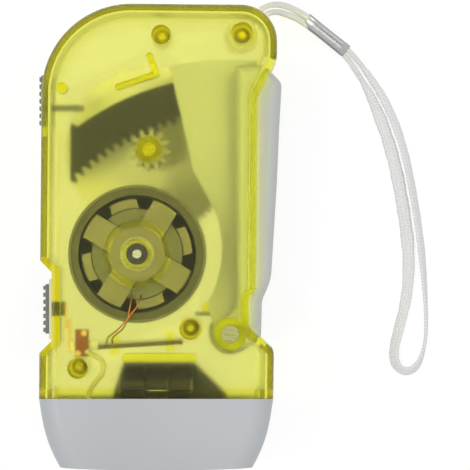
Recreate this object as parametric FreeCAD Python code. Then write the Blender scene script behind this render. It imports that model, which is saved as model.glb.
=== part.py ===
import FreeCAD
import Part
import math
import os

# Squeeze lever dynamo torch, lying on its broad back face.
# +Z points out of the front face, +Y towards the strap end, -Y towards the lamp, +X to the lever.
# All sizes are in millimetres.

# Housing
THICK = 38.0
WALL = 1.8
BEYOND = 60.0
EDGE_R = 3.8
INNER_EDGE_R = 2.2
SPLIT_Z = THICK / 2
SIDE_X = 26.6
SIDE_FLARE = 0.75
TAIL_Y = 52.6
TAIL_DROP = 0.5
BIG_CORNER_R = 20.3
TAIL_CORNER_R = 8.2
BULGE_X = 26.4
BULGE_Y = 39.8
WAIST_X = 22.1
WAIST_TOP_Y = 31.2
WAIST_R = 5.0
WAIST_LOW_X = 21.6
HEEL_X = 25.75
HEEL_TOP_Y = -25.0
HEEL_R = 4.5
SEAM_Y = -36.7
LEVER_NOTCH_DEPTH = 1.6
LEVER_NOTCH_TOP_Y = -12.3
LEVER_NOTCH_LOW_Y = -20.6
SWITCH_RECESS_DEPTH = 2.5
SWITCH_RECESS_TOP_Y = -8.2
SWITCH_RECESS_LOW_Y = -23.6
RECESS_RAMP = 2.5

# Head cap, lens and lamp
HEAD_X = -0.9
HEAD_HALF_X = 26.45
CAP_WALL = 1.55
CAP_CLEAR = 0.15
CAP_FRONT_Y = -53.0
CAP_BOW = 0.65
CAP_CORNER_R = 4.4
NECK_WALL = 1.5
NECK_LENGTH = 4.6
NECK_OVERLAP = 2.0
SNAP_X = (-8.2, 7.3)
SNAP_DEPTH = 0.8
WINDOW_HALF_X = HEAD_HALF_X - 7.85
WINDOW_HALF_Z = THICK / 2 - 7.6
WINDOW_R = 6.0
LENS_T = 1.2
LENS_LIP = 1.6
REFLECTOR_HALF_X = WINDOW_HALF_X + LENS_LIP
REFLECTOR_HALF_Z = WINDOW_HALF_Z + 1.2
REFLECTOR_BACK_Y = -40.4
CUP_MOUTH_R = 6.0
CUP_PITCH = WINDOW_HALF_X - CUP_MOUTH_R
CUP_THROAT_R = 2.75
LED_R = 2.5
LED_FLANGE_R = 2.9
LED_LENGTH = 8.6
LED_FLANGE_T = 1.0
LED_LEAD_W = 0.5
LED_LEAD_PITCH = 2.54
LAMP_BOARD_Y = -38.3
LAMP_BOARD_T = 0.8
LAMP_BOARD_HALF_Z = 3.3
LAMP_BOARD_WING_Z = SPLIT_Z + 6.0

# Circuit board and cells
BOARD_X0 = -14.1
BOARD_X1 = 5.0
BOARD_Y = -25.2
BOARD_LEAN_DEG = 3.5
BOARD_T = 1.0
BOARD_Z0 = 7.0
BOARD_Z1 = THICK - 8.0
CELL_R = 5.8
CELL_L = 5.3
CELL_COUNT = 3
CELL_GAP = 0.1
CELL_X0 = -9.2
CELL_Y = -34.6
HOLDER_TOP_X = (-8.6, 7.6)
HOLDER_TOP_Y = -29.0
HOLDER_LOW_X = (-11.0, 15.0)
HOLDER_LOW_Y = -36.2
HOLDER_END_Y = -40.3
TERMINAL_X = (-19.4, -16.3)
TERMINAL_Y = (-27.4, -21.2)
TERMINAL_T = 0.9
TERMINAL_SCREWS = ((-17.4, -22.1), (-18.7, -26.7))
TERMINAL_SCREW_R = 0.65
LAMP_WIRE_R = 0.55

# Lever
PIVOT = (15.76, -22.1)
LEVER_WIDTH = 23.0
LEVER_WALL = 1.6
LEVER_EDGE_R = 2.4
LEVER_CLEAR = 0.5
LEVER_TRAVEL = 17.0
FLANGE_X = 17.0
WEB_R = 62.1
WEB_LEFT_DEG = 102.7
WEB_KINK_R = 38.0
WEB_T = 2.5
WEB_Z = SPLIT_Z + 1.1
FLYWHEEL_CLEAR_R = 19.4
PIVOT_HUB_R = 3.6
FOOT_R = 8.0
PIN_R = 2.0
PIN_CLEAR = 0.05
PIVOT_BOSS_R = 3.7
SPRING_WIRE_R = 0.42
SPRING_TURNS = 4.25
SPRING_SIDES = 8
SPRING_PEG = (10.3, -16.25, 1.0)

# Gears
RING_MODULE = 0.7
RING_TEETH = 142
RING_PINION_TEETH = 12
SECTOR_OUTER_R = 58.4
SECTOR_TEETH_RIGHT = 6
SECTOR_TEETH_LEFT = 8
SECTOR_LEFT_X = -20.6
NOSE_R = 59.9
NOSE_DEG = 127.0
SECTOR_T = 6.6
SECTOR_Z = WEB_Z - 0.1 - SECTOR_T
TRAIN_MODULE = 0.5
DRIVE_TEETH = 78
FLY_PINION_TEETH = 17
TRAIN_Z = 3.3
TRAIN_T = 2.4
PRESSURE_DEG = 20.0
BACKLASH = 0.14
AXLE_R = 1.5
AXLE_TOP_Z = SPLIT_Z + 6.0
GEAR_HUB_R = 3.2
RIVET_R = 1.3
RIVET_HEAD_R = 2.0
RIVET_HEAD_T = 0.8
RIVET_SKIN = 0.5
RIVET_DEGS = (98.2, 100.6)

# Dynamo
WHEEL = (-5.2, -4.08)
SHAFT_R = 1.0
SHAFT_CLEAR = 0.05
CUP_R = 15.6
CUP_RIM_T = 0.65
FRONT_CLAW_Z = THICK - 4.6
REAR_CLAW_Z = FRONT_CLAW_Z - 9.4
CUP_WEB_Z = REAR_CLAW_Z - 3.0
CUP_WEB_T = 1.6
CUP_FRONT_Z = FRONT_CLAW_Z - 0.4
CUP_HUB_R = 2.6
MAGNET_T = 1.6
MAGNET_Z1 = CUP_FRONT_Z - 0.2
FRONT_CLAW_W = 6.0
REAR_CLAW_W = 6.2
CLAW_T = 1.0
CLAW_BEND_R = 0.6
REAR_CLAW_TIP_T = 2.0
FRONT_CLAW_R = 12.95
REAR_CLAW_R = 12.4
FRONT_CLAW_DEG = 59.0
REAR_CLAW_DEG = 15.4
CLAW_COUNT = 4
CLAW_HUB_R = 6.2
CLAW_REACH = 7.4
CORE_R = 3.9
CORE_BORE_R = 1.3
BOBBIN_R = 10.2
BOBBIN_FLANGE_T = 0.8
BOBBIN_TUBE_T = 0.7
BUSH_R = 2.4
HUB_BOSS_R = 3.45
HUB_RING_R = 7.6
HUB_RING_INNER_R = 6.2
WIRE_R = 0.16

# Screws and inner ribs
SCREW_POSTS = ((0.24, 45.4, 2.2), (18.5, 45.8, 2.4), (6.8, -21.06, 2.4), (-18.6, -29.9, 2.3))
SCREW_R = 0.8
SCREW_CLEAR_R = 1.15
SCREW_HEAD_R = 1.9
SCREW_HEAD_T = 1.3
SCREW_RECESS_R = 2.05
SCREW_LENGTH = 12.0
POST_JOINT_Z = 8.0
POST_LIP = 0.3
REAR_POST_EXTRA = 0.2
GEAR_POST_R = 2.9
PEG = (-22.2, 33.4, 1.2)
RIB_T = 1.25
GUIDE_RIB = ((-9.5, 33.7), (-0.8, 36.6), (-2.4, 40.7))
GUIDE_RIB_Z = SPLIT_Z + 2.5
BAR_RIB_X = (-7.6, 7.2)
BAR_RIB_Y = -27.5
BAR_RIB_T = 2.0
BAR_RIB_Z = THICK - 7.0

# Switch and lever lock
SWITCH_X = -SIDE_X + 1.3
SWITCH_Z0 = SPLIT_Z - 6.0
SWITCH_Z1 = SPLIT_Z + 6.0
PLATE_T = 0.8
PLATE_Y0 = -23.4
PLATE_Y1 = -9.9
BUTTON_Y0 = -22.2
BUTTON_Y1 = -11.0
BUTTON_T = 1.3
BUTTON_RIBS = 7
SWITCH_TRAVEL = 1.8
STEM_REACH = 2.3
STEM_HALF_Y = 1.6
STEM_HALF_Z = 2.0
LOCK_Y0 = 24.8
LOCK_Y1 = 36.4
LOCK_X = -SIDE_X - 0.9
LOCK_T = 1.2
LOCK_Z0 = SPLIT_Z - 6.0
LOCK_Z1 = SPLIT_Z + 6.0
LOCK_TRAVEL = 2.0
TONGUE_Y0 = 28.4
TONGUE_T = 1.4
TONGUE_X = -17.5
CONTACT_Y = (-26.5, -19.0)
TONGUE_Z0 = LOCK_Z0 + 2.0
TONGUE_Z1 = TONGUE_Z0 + 3.4
SLIDE_CLEAR = 0.3

# Strap
STRAP_R = 0.7
STRAP_Z = 12.0
STRAP_HOLE = (22.3, 50.2)
ROOT_CLEAR = 1.5
CLIP_WALL = 0.2
CLIP_HALF_W = 1.6
CLIP_HALF_H = 0.95
CLIP_LENGTH = 11.9

UP = FreeCAD.Vector(0, 0, 1)


def vec(x, y, z=0.0):
    return FreeCAD.Vector(x, y, z)


def polar(centre, radius, degrees):
    angle = math.radians(degrees)
    return (centre[0] + radius * math.cos(angle), centre[1] + radius * math.sin(angle))


def bearing(centre, point):
    return math.degrees(math.atan2(point[1] - centre[1], point[0] - centre[0]))


def box(x, y, z):
    return Part.makeBox(x[1] - x[0], y[1] - y[0], z[1] - z[0], vec(x[0], y[0], z[0]))


def disc(centre, radius, z0, z1):
    return Part.makeCylinder(radius, z1 - z0, vec(centre[0], centre[1], z0))


def tube(centre, outer, inner, z0, z1):
    return disc(centre, outer, z0, z1).cut(disc(centre, inner, z0, z1))


def post(centre, radius, z0, z1):
    """Round post whose lower rim is bevelled."""
    rim = Part.makeCone(radius - POST_LIP, radius, POST_LIP, vec(centre[0], centre[1], z0))
    return rim.fuse(disc(centre, radius, z0 + POST_LIP, z1))


def joined(first, *others):
    return first.multiFuse(list(others)).removeSplitter()


def rounded_wire(corners):
    """Closed outline in XY through corners (x, y, radius), with a tangent arc at each one."""
    edges = []
    ends = []
    count = len(corners)
    for i in range(count):
        here = vec(corners[i][0], corners[i][1])
        back = (vec(corners[i - 1][0], corners[i - 1][1]) - here).normalize()
        ahead = (vec(corners[(i + 1) % count][0], corners[(i + 1) % count][1]) - here).normalize()
        radius = corners[i][2]
        if radius == 0:
            ends.append((here, here, None))
            continue
        half = back.getAngle(ahead) / 2
        run = radius / math.tan(half)
        middle = here + (back + ahead).normalize() * (radius / math.sin(half) - radius)
        ends.append((here + back * run, here + ahead * run, middle))
    for i in range(count):
        start, stop, middle = ends[i]
        if middle is not None:
            edges.append(Part.Arc(start, middle, stop).toShape())
        following = ends[(i + 1) % count][0]
        if stop.distanceToPoint(following) > 1e-6:
            edges.append(Part.LineSegment(stop, following).toShape())
    return Part.Wire(edges)


def prism(corners, z0, z1):
    """Upright solid on an outline of (x, y, radius) corners."""
    wire = rounded_wire(corners)
    wire.translate(vec(0, 0, z0))
    return Part.Face(wire).extrude(vec(0, 0, z1 - z0))


def polygon_prism(points, z0, z1):
    wire = Part.makePolygon([vec(p[0], p[1], z0) for p in points] + [vec(points[0][0], points[0][1], z0)])
    return Part.Face(wire).extrude(vec(0, 0, z1 - z0))


def rib(start, end, width, z0, z1):
    """Straight rib with round ends."""
    along = vec(end[0] - start[0], end[1] - start[1]).normalize()
    side = vec(-along.y, along.x) * (width / 2)
    first = vec(start[0], start[1], z0)
    last = vec(end[0], end[1], z0)
    wire = Part.Wire([
        Part.LineSegment(first + side, last + side).toShape(),
        Part.Arc(last + side, last + along * (width / 2), last - side).toShape(),
        Part.LineSegment(last - side, first - side).toShape(),
        Part.Arc(first - side, first - along * (width / 2), first + side).toShape(),
    ])
    return Part.Face(wire).extrude(vec(0, 0, z1 - z0))


def upright_edges(shape, z):
    """Edges that lie flat at height z."""
    return [e for e in shape.Edges if abs(e.BoundBox.ZMin - z) < 1e-4 and abs(e.BoundBox.ZMax - z) < 1e-4]


def broad_edges(shape, z_values, skip_y):
    found = []
    for z in z_values:
        for edge in upright_edges(shape, z):
            if abs(edge.BoundBox.YMin - skip_y) < 1e-4 and abs(edge.BoundBox.YMax - skip_y) < 1e-4:
                continue
            found.append(edge)
    return found


def involute(angle):
    return math.tan(angle) - angle


def tooth_half_angle(radius, teeth, module, thinning):
    """Half the angle that an involute tooth takes up at a radius, in radians."""
    pitch_r = teeth * module / 2
    pressure = math.radians(PRESSURE_DEG)
    base_r = pitch_r * math.cos(pressure)
    at_pitch = math.pi / (2 * teeth) - thinning / (2 * pitch_r)
    here = math.acos(min(1.0, base_r / max(radius, base_r)))
    return at_pitch + involute(pressure) - involute(here)


def gear_points(centre, teeth, module, phase, addendum, dedendum, thinning, flank_steps):
    """Outline of a spur gear with a tooth centred on the bearing phase."""
    pitch_r = teeth * module / 2
    low = pitch_r - dedendum * module
    high = pitch_r + addendum * module
    radii = [low + (high - low) * i / flank_steps for i in range(flank_steps + 1)]
    points = []
    for k in range(teeth):
        middle = phase + 360.0 * k / teeth
        for r in radii:
            points.append(polar(centre, r, middle - math.degrees(tooth_half_angle(r, teeth, module, thinning))))
        for r in reversed(radii):
            points.append(polar(centre, r, middle + math.degrees(tooth_half_angle(r, teeth, module, thinning))))
    return points


def meeting_point(first, first_r, second, second_r):
    """The left one of the two points that lie at given distances from two centres."""
    dx = second[0] - first[0]
    dy = second[1] - first[1]
    span = math.hypot(dx, dy)
    along = (first_r ** 2 - second_r ** 2 + span ** 2) / (2 * span)
    height = math.sqrt(first_r ** 2 - along ** 2)
    foot = (first[0] + along * dx / span, first[1] + along * dy / span)
    return (foot[0] + height * dy / span, foot[1] - height * dx / span)


RING_PITCH_R = RING_TEETH * RING_MODULE / 2
RING_PINION_R = RING_PINION_TEETH * RING_MODULE / 2
DRIVE_R = DRIVE_TEETH * TRAIN_MODULE / 2
FLY_PINION_R = FLY_PINION_TEETH * TRAIN_MODULE / 2
GEAR_AXIS = meeting_point(PIVOT, RING_PITCH_R - RING_PINION_R, WHEEL, DRIVE_R + FLY_PINION_R)
MESH_DEG = bearing(PIVOT, GEAR_AXIS)
SECTOR_RIGHT_DEG = MESH_DEG - (SECTOR_TEETH_RIGHT + 0.75) * 360.0 / RING_TEETH
TRAIN_DEG = bearing(GEAR_AXIS, WHEEL)
FRONT_IN = THICK - WALL
PIVOT_Z0 = SPLIT_Z - LEVER_WIDTH / 2
PIVOT_Z1 = SPLIT_Z + LEVER_WIDTH / 2
MAGNET_OUTER_R = CUP_R - CUP_RIM_T - SHAFT_CLEAR
MAGNET_INNER_R = MAGNET_OUTER_R - MAGNET_T
BAY_FLOOR_X = -SIDE_X + SWITCH_RECESS_DEPTH


# Housing outline, seen from the front
def housing_corners(grow):
    """Plan outline of the housing, moved outwards by grow (inwards when negative)."""
    tail = TAIL_Y + grow
    return [
        (-SIDE_X - SIDE_FLARE - grow, SEAM_Y, 0),
        (-SIDE_X - grow, tail, BIG_CORNER_R + grow),
        (BULGE_X + grow, tail - TAIL_DROP, TAIL_CORNER_R + grow),
        (BULGE_X + grow, BULGE_Y - grow * 0.4, WAIST_R + grow),
        (WAIST_X + grow, WAIST_TOP_Y - grow * 0.4, WAIST_R - grow),
        (WAIST_LOW_X + grow, HEEL_TOP_Y + 3.4 + grow * 0.4, WAIST_R - 2.0 - grow),
        (HEEL_X + grow, HEEL_TOP_Y + grow * 0.4, HEEL_R + grow),
        (HEEL_X - 0.2 + grow, SEAM_Y, 0),
    ]


def side_bays(grow):
    """The two places where the side wall steps in: the lever's foot and the switch."""
    step = LEVER_NOTCH_DEPTH
    notch_x = WAIST_LOW_X - step + grow
    foot = polygon_prism([
        (notch_x, LEVER_NOTCH_TOP_Y - step - grow * 0.4),
        (WAIST_LOW_X + 3.0, LEVER_NOTCH_TOP_Y + 3.0 - grow * 0.4),
        (WAIST_LOW_X + 9.0, LEVER_NOTCH_TOP_Y + 3.0),
        (WAIST_LOW_X + 9.0, HEEL_TOP_Y - 1.5 + grow * 0.5),
        (HEEL_X + grow, HEEL_TOP_Y - 0.8 + grow * 0.5),
        (notch_x, LEVER_NOTCH_LOW_Y + grow * 0.5),
    ], -1, THICK + 1)
    floor_x = BAY_FLOOR_X - 0.3 - grow
    bay = polygon_prism([
        (floor_x, SWITCH_RECESS_TOP_Y - grow * 0.4),
        (floor_x, SWITCH_RECESS_LOW_Y + grow * 0.4),
        (floor_x - 2 * RECESS_RAMP, SWITCH_RECESS_LOW_Y - 2 * RECESS_RAMP + grow * 0.4),
        (floor_x - 2 * RECESS_RAMP, SWITCH_RECESS_TOP_Y + 2 * RECESS_RAMP - grow * 0.4),
    ], -1, THICK + 1)
    return foot.fuse(bay)


def housing_blank():
    outer = prism(housing_corners(0), 0, THICK)
    outer = outer.makeFillet(EDGE_R, broad_edges(outer, (0, THICK), SEAM_Y))
    outer = outer.cut(side_bays(0))
    inner = prism(housing_corners(-WALL), WALL, FRONT_IN)
    inner = inner.makeFillet(INNER_EDGE_R, broad_edges(inner, (WALL, FRONT_IN), SEAM_Y))
    inner = inner.cut(side_bays(-WALL))
    return outer, inner


def head_section(y, inset, half_x, half_z, radius):
    """Rounded rectangle across the head at a place along it."""
    corners = [
        (HEAD_X - half_x + inset, half_z - inset, radius),
        (HEAD_X + half_x - inset, half_z - inset, radius),
        (HEAD_X + half_x - inset, -half_z + inset, radius),
        (HEAD_X - half_x + inset, -half_z + inset, radius),
    ]
    wire = rounded_wire(corners)
    wire.rotate(vec(0, 0), vec(1, 0), 90)
    wire.translate(vec(0, y, THICK / 2))
    return wire


# Place along the head, and how far its sides and its broad faces have drawn in there
CAP_STATIONS = (
    (SEAM_Y, 0.0, 0.0),
    (-41.5, 0.75, 0.25),
    (-46.5, 2.05, 0.85),
    (-50.5, 3.75, 1.75),
    (-53.6, 5.45, 2.85),
)


def cap_solid(inset):
    wires = []
    for y, in_x, in_z in CAP_STATIONS:
        wires.append(head_section(y, inset, HEAD_HALF_X - in_x, THICK / 2 - in_z, CAP_CORNER_R - inset))
    return Part.makeLoft(wires, True, False)


def head_block(y0, y1, inset, radius):
    wire = head_section(y0, inset, HEAD_HALF_X, THICK / 2, radius)
    return Part.Face(wire).extrude(vec(0, y1 - y0, 0))


def housing_neck():
    """Short collar on the housing that the head cap slips over."""
    inset = CAP_WALL + CAP_CLEAR
    span = box((-BEYOND, BEYOND), (SEAM_Y - NECK_LENGTH, SEAM_Y), (-1, THICK + 1))
    outer = cap_solid(inset).common(span)
    outer = outer.fuse(head_block(SEAM_Y, SEAM_Y + NECK_OVERLAP, inset, CAP_CORNER_R - inset))
    bore = inset + NECK_WALL
    inner = cap_solid(bore)
    inner = inner.fuse(head_block(SEAM_Y - 0.01, SEAM_Y + NECK_OVERLAP + 1, bore, CAP_CORNER_R - bore))
    return outer.cut(inner)


def snap_pad():
    """Low pad inside the front face at the seam, bevelled on its three open sides."""
    roof = THICK - CAP_WALL - CAP_CLEAR - NECK_WALL
    pad = box(SNAP_X, (SEAM_Y, SEAM_Y + NECK_OVERLAP), (roof - SNAP_DEPTH, roof + 0.5))
    rims = [e for e in upright_edges(pad, roof - SNAP_DEPTH) if e.BoundBox.YMax > SEAM_Y + 0.01]
    return pad.makeChamfer(POST_LIP, rims)


def lever_slot():
    """Opening in the side wall that the lever swings through."""
    z0 = PIVOT_Z0 - LEVER_CLEAR
    z1 = PIVOT_Z1 + LEVER_CLEAR
    swing = disc(PIVOT, WEB_R + LEVER_CLEAR + 0.3, z0, z1)
    side = box((FLANGE_X, BEYOND), (PIVOT[1], TAIL_Y), (z0, z1))
    foot = disc(PIVOT, FOOT_R, z0, z1).common(box((FLANGE_X, BEYOND), (-BEYOND, BEYOND), (z0, z1)))
    return swing.common(side).fuse(foot)


def strap_hole():
    hole = box((-2.1, 2.1), (-3.2, 3.2), (STRAP_Z - 1.2, STRAP_Z + 1.2))
    hole.rotate(vec(0, 0, 0), UP, -40.0)
    hole.translate(vec(*STRAP_HOLE, 0))
    return hole


def switch_slot():
    y = (BUTTON_Y0 + BUTTON_Y1) / 2
    return box((BAY_FLOOR_X - 3, BAY_FLOOR_X + 3),
               (y - STEM_HALF_Y - SWITCH_TRAVEL - SLIDE_CLEAR, y + STEM_HALF_Y + SLIDE_CLEAR),
               (SPLIT_Z - STEM_HALF_Z - SLIDE_CLEAR, SPLIT_Z + STEM_HALF_Z + SLIDE_CLEAR))


def lock_pocket():
    """Shallow recess for the lock's thumb piece, with a slot for its tongue."""
    recess = box((LOCK_X - 2, LOCK_X + LOCK_T + 0.15),
                 (LOCK_Y0 - LOCK_TRAVEL - SLIDE_CLEAR, LOCK_Y1 + SLIDE_CLEAR),
                 (LOCK_Z0 - SLIDE_CLEAR, LOCK_Z1 + SLIDE_CLEAR))
    slot = box((LOCK_X, LOCK_X + 5),
               (TONGUE_Y0 - LOCK_TRAVEL - SLIDE_CLEAR, TONGUE_Y0 + TONGUE_T + SLIDE_CLEAR),
               (TONGUE_Z0 - SLIDE_CLEAR, TONGUE_Z1 + SLIDE_CLEAR))
    return recess.fuse(slot)


def front_details():
    """Posts, rings and ribs moulded on the inside of the front half."""
    top = FRONT_IN + 0.5
    parts = []
    for x, y, r in SCREW_POSTS:
        parts.append(disc((x, y), r, POST_JOINT_Z, top))
    hub_z = FRONT_CLAW_Z + CLAW_T + 0.1
    parts.append(post(GEAR_AXIS, GEAR_POST_R, SECTOR_Z + SECTOR_T + 0.4, top))
    parts.append(post(PIVOT, PIVOT_BOSS_R, PIVOT_Z1 + 0.3, top))
    parts.append(post(WHEEL, HUB_BOSS_R, hub_z, top))
    flare = Part.makeCone(HUB_RING_INNER_R + POST_LIP, HUB_RING_INNER_R, POST_LIP, vec(*WHEEL, hub_z))
    ring = post(WHEEL, HUB_RING_R, hub_z, top)
    parts.append(ring.cut([flare, disc(WHEEL, HUB_RING_INNER_R, hub_z, THICK)]))
    parts.append(disc(PEG, PEG[2], SPLIT_Z + 2, top))
    parts.append(rib(GUIDE_RIB[0], GUIDE_RIB[1], RIB_T, GUIDE_RIB_Z, top))
    parts.append(rib(GUIDE_RIB[1], GUIDE_RIB[2], RIB_T, GUIDE_RIB_Z, top))
    parts.append(rib((BAR_RIB_X[0], BAR_RIB_Y), (BAR_RIB_X[1], BAR_RIB_Y), BAR_RIB_T, BAR_RIB_Z, top))
    parts.append(snap_pad())
    return parts


def front_holes():
    cuts = [disc(WHEEL, BUSH_R + 0.02, 0, FRONT_IN + 0.9)]
    for x, y, r in SCREW_POSTS:
        cuts.append(disc((x, y), SCREW_R, POST_JOINT_Z - 1, SCREW_HEAD_T + SCREW_LENGTH + 1))
    cuts.append(disc(GEAR_AXIS, AXLE_R + 0.02, 0, AXLE_TOP_Z + 0.1))
    cuts.append(disc(PIVOT, PIN_R + 0.02, 0, FRONT_IN + 0.6))
    return cuts


def front_shell(outer, inner):
    upper = box((-BEYOND, BEYOND), (-BEYOND, BEYOND), (SPLIT_Z, THICK + 1))
    shell = outer.cut(inner).common(upper)
    shell = shell.fuse(housing_neck().common(upper))
    shell = shell.multiFuse(front_details())
    cuts = front_holes() + [lever_slot(), switch_slot(), lock_pocket()]
    return shell.cut(cuts).removeSplitter()


def board_y(x):
    """Middle of the leaning board at a place along it."""
    return BOARD_Y + (x - BOARD_X0) * math.tan(math.radians(BOARD_LEAN_DEG))


def board_blank(grow, z0, z1):
    blank = box((-grow, BOARD_X1 - BOARD_X0 + grow), (-BOARD_T / 2 - grow, BOARD_T / 2 + grow), (z0, z1))
    blank.rotate(vec(0, 0), UP, BOARD_LEAN_DEG)
    blank.translate(vec(BOARD_X0, BOARD_Y))
    return blank


def rear_details():
    low = WALL - 0.5
    parts = []
    for x, y, r in SCREW_POSTS:
        parts.append(disc((x, y), r + REAR_POST_EXTRA, low, POST_JOINT_Z))
    parts.append(disc(GEAR_AXIS, GEAR_HUB_R, low, TRAIN_Z - 0.2))
    parts.append(disc(WHEEL, GEAR_HUB_R, low, TRAIN_Z - 0.2))
    parts.append(disc(PIVOT, PIVOT_BOSS_R, low, PIVOT_Z0 - 0.3))
    parts.append(disc(SPRING_PEG, SPRING_PEG[2], low, WEB_Z - 1.5))
    for x in (BOARD_X0 + 2.5, BOARD_X1 - 4.0):
        y = board_y(x + 1.0)
        parts.append(box((x, x + 2.0), (y - 2.2, y + 2.2), (low, BOARD_Z0 + 2.0)))
    return parts


def rear_holes():
    cuts = []
    for x, y, r in SCREW_POSTS:
        cuts.append(disc((x, y), SCREW_CLEAR_R, -1, POST_JOINT_Z + 1))
        cuts.append(disc((x, y), SCREW_RECESS_R, -1, SCREW_HEAD_T))
    cuts.append(disc(GEAR_AXIS, AXLE_R + 0.02, WALL - 0.9, THICK / 2))
    cuts.append(disc(WHEEL, SHAFT_R + 0.02, WALL - 0.9, THICK / 2))
    cuts.append(disc(PIVOT, PIN_R + 0.02, WALL - 0.9, THICK / 2))
    cuts.append(board_blank(0.1, BOARD_Z0 - 0.1, BOARD_Z0 + 4))
    return cuts


def rear_shell(outer, inner):
    lower = box((-BEYOND, BEYOND), (-BEYOND, BEYOND), (-1, SPLIT_Z))
    shell = outer.cut(inner).common(lower)
    shell = shell.fuse(housing_neck().common(lower))
    shell = shell.multiFuse(rear_details())
    cuts = rear_holes() + [lever_slot(), switch_slot(), lock_pocket(), strap_hole()]
    return shell.cut(cuts).removeSplitter()


# Head
def head_cap():
    radius = (HEAD_HALF_X - 5.0) ** 2 / (2 * CAP_BOW)
    outer = cap_solid(0).common(disc((HEAD_X, CAP_FRONT_Y + radius), radius, -1, THICK + 1))
    inner_front = CAP_FRONT_Y + CAP_BOW + CAP_WALL
    inner = cap_solid(CAP_WALL).common(box((-BEYOND, BEYOND), (inner_front, SEAM_Y + 1), (-1, THICK + 1)))
    window = Part.Face(head_section(CAP_FRONT_Y - 1, 0, WINDOW_HALF_X, WINDOW_HALF_Z, WINDOW_R))
    return outer.cut([inner, window.extrude(vec(0, 5, 0))]).removeSplitter()


LENS_Y0 = CAP_FRONT_Y + CAP_BOW + CAP_WALL + 0.05


def lens():
    face = Part.Face(head_section(LENS_Y0, 0, WINDOW_HALF_X + LENS_LIP, WINDOW_HALF_Z + LENS_LIP, WINDOW_R + 1))
    return face.extrude(vec(0, LENS_T, 0))


REFLECTOR_FRONT_Y = LENS_Y0 + LENS_T + 0.05


def lamp_centres():
    return [HEAD_X + (i - 1) * CUP_PITCH for i in range(3)]


def lamp_axis_cylinder(x, radius, y0, y1):
    return Part.makeCylinder(radius, y1 - y0, vec(x, y0, THICK / 2), vec(0, 1, 0))


def reflector():
    """Block with three bright cups, open to the front."""
    wire = head_section(REFLECTOR_FRONT_Y, 0, REFLECTOR_HALF_X, REFLECTOR_HALF_Z, WINDOW_R)
    body = Part.Face(wire).extrude(vec(0, REFLECTOR_BACK_Y - REFLECTOR_FRONT_Y, 0))
    depth = REFLECTOR_BACK_Y - REFLECTOR_FRONT_Y
    for x in lamp_centres():
        outline = [vec(x, REFLECTOR_FRONT_Y, THICK / 2), vec(x + CUP_MOUTH_R, REFLECTOR_FRONT_Y, THICK / 2)]
        throat = vec(x + CUP_THROAT_R, REFLECTOR_BACK_Y - 1.2, THICK / 2)
        bulge = vec(x + CUP_MOUTH_R * 0.80, REFLECTOR_FRONT_Y + depth * 0.45, THICK / 2)
        end = vec(x, REFLECTOR_BACK_Y - 1.2, THICK / 2)
        wire = Part.Wire([
            Part.LineSegment(outline[0], outline[1]).toShape(),
            Part.Arc(outline[1], bulge, throat).toShape(),
            Part.LineSegment(throat, end).toShape(),
            Part.LineSegment(end, outline[0]).toShape(),
        ])
        bowl = Part.Face(wire).revolve(vec(x, 0, THICK / 2), vec(0, 1, 0), 360)
        body = body.cut(bowl)
        body = body.cut(lamp_axis_cylinder(x, LED_R + 0.15, REFLECTOR_BACK_Y - 3, REFLECTOR_BACK_Y + 1))
    return body


def led(x):
    """Round lamp with its flange behind the reflector and two leads to its board."""
    flange_y = REFLECTOR_BACK_Y + 0.05
    body = lamp_axis_cylinder(x, LED_FLANGE_R, flange_y, flange_y + LED_FLANGE_T)
    barrel_y = flange_y + LED_FLANGE_T - LED_LENGTH + LED_R
    body = body.fuse(lamp_axis_cylinder(x, LED_R, barrel_y, flange_y + 0.1))
    body = body.fuse(Part.makeSphere(LED_R, vec(x, barrel_y, THICK / 2)))
    for side in (-0.5, 0.5):
        place = vec(x, flange_y + LED_FLANGE_T - 0.1, THICK / 2 + side * LED_LEAD_PITCH)
        body = body.fuse(Part.makeCylinder(LED_LEAD_W / 2, LAMP_BOARD_Y - place.y, place, vec(0, 1, 0)))
    return body


def lamp_board():
    """Narrow board that the lamps' leads are soldered to, hidden under the cap."""
    reach = CUP_PITCH + LED_FLANGE_R
    x = (HEAD_X - reach, HEAD_X + reach)
    y = (LAMP_BOARD_Y, LAMP_BOARD_Y + LAMP_BOARD_T)
    strip = box(x, y, (THICK / 2 - LAMP_BOARD_HALF_Z, THICK / 2 + LAMP_BOARD_HALF_Z))
    wing = box((HEAD_X - reach - 2.0, HEAD_X - reach + 4.0), y, (THICK / 2 - LAMP_BOARD_HALF_Z, LAMP_BOARD_WING_Z))
    return strip.fuse(wing).removeSplitter()


def bent_path(points):
    """Straight runs joined by tangent arcs, each as large as its two runs allow."""
    edges = []
    radii = []
    start = points[0]
    for i in range(1, len(points) - 1):
        here = points[i]
        back = points[i - 1] - here
        ahead = points[i + 1] - here
        reach = 0.45 * min(back.Length, ahead.Length)
        back.normalize()
        ahead.normalize()
        half = back.getAngle(ahead) / 2
        radius = reach * math.tan(half)
        first = here + back * reach
        last = here + ahead * reach
        middle = here + (back + ahead).normalize() * (radius / math.sin(half) - radius)
        edges.append(Part.LineSegment(start, first).toShape())
        edges.append(Part.Arc(first, middle, last).toShape())
        radii.append(radius)
        start = last
    edges.append(Part.LineSegment(start, points[-1]).toShape())
    return Part.Wire(edges), radii


def bent_wire(points, radius):
    path, radii = bent_path(points)
    circle = Part.Wire(Part.makeCircle(radius, points[0], points[1] - points[0]))
    return path.makePipeShell([circle], True, False)


def led_board():
    return board_blank(0, BOARD_Z0, BOARD_Z1)


def button_cell(index):
    x = CELL_X0 + index * (CELL_L + CELL_GAP)
    body = Part.makeCylinder(CELL_R, CELL_L - 0.5, vec(x + 0.5, CELL_Y, CELL_Z), vec(1, 0, 0))
    cap = Part.makeCylinder(CELL_R - 1.2, 0.6, vec(x, CELL_Y, CELL_Z), vec(1, 0, 0))
    return body.fuse(cap)


CELL_Z = CAP_WALL + CAP_CLEAR + NECK_WALL + 0.2 + CELL_R


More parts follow.
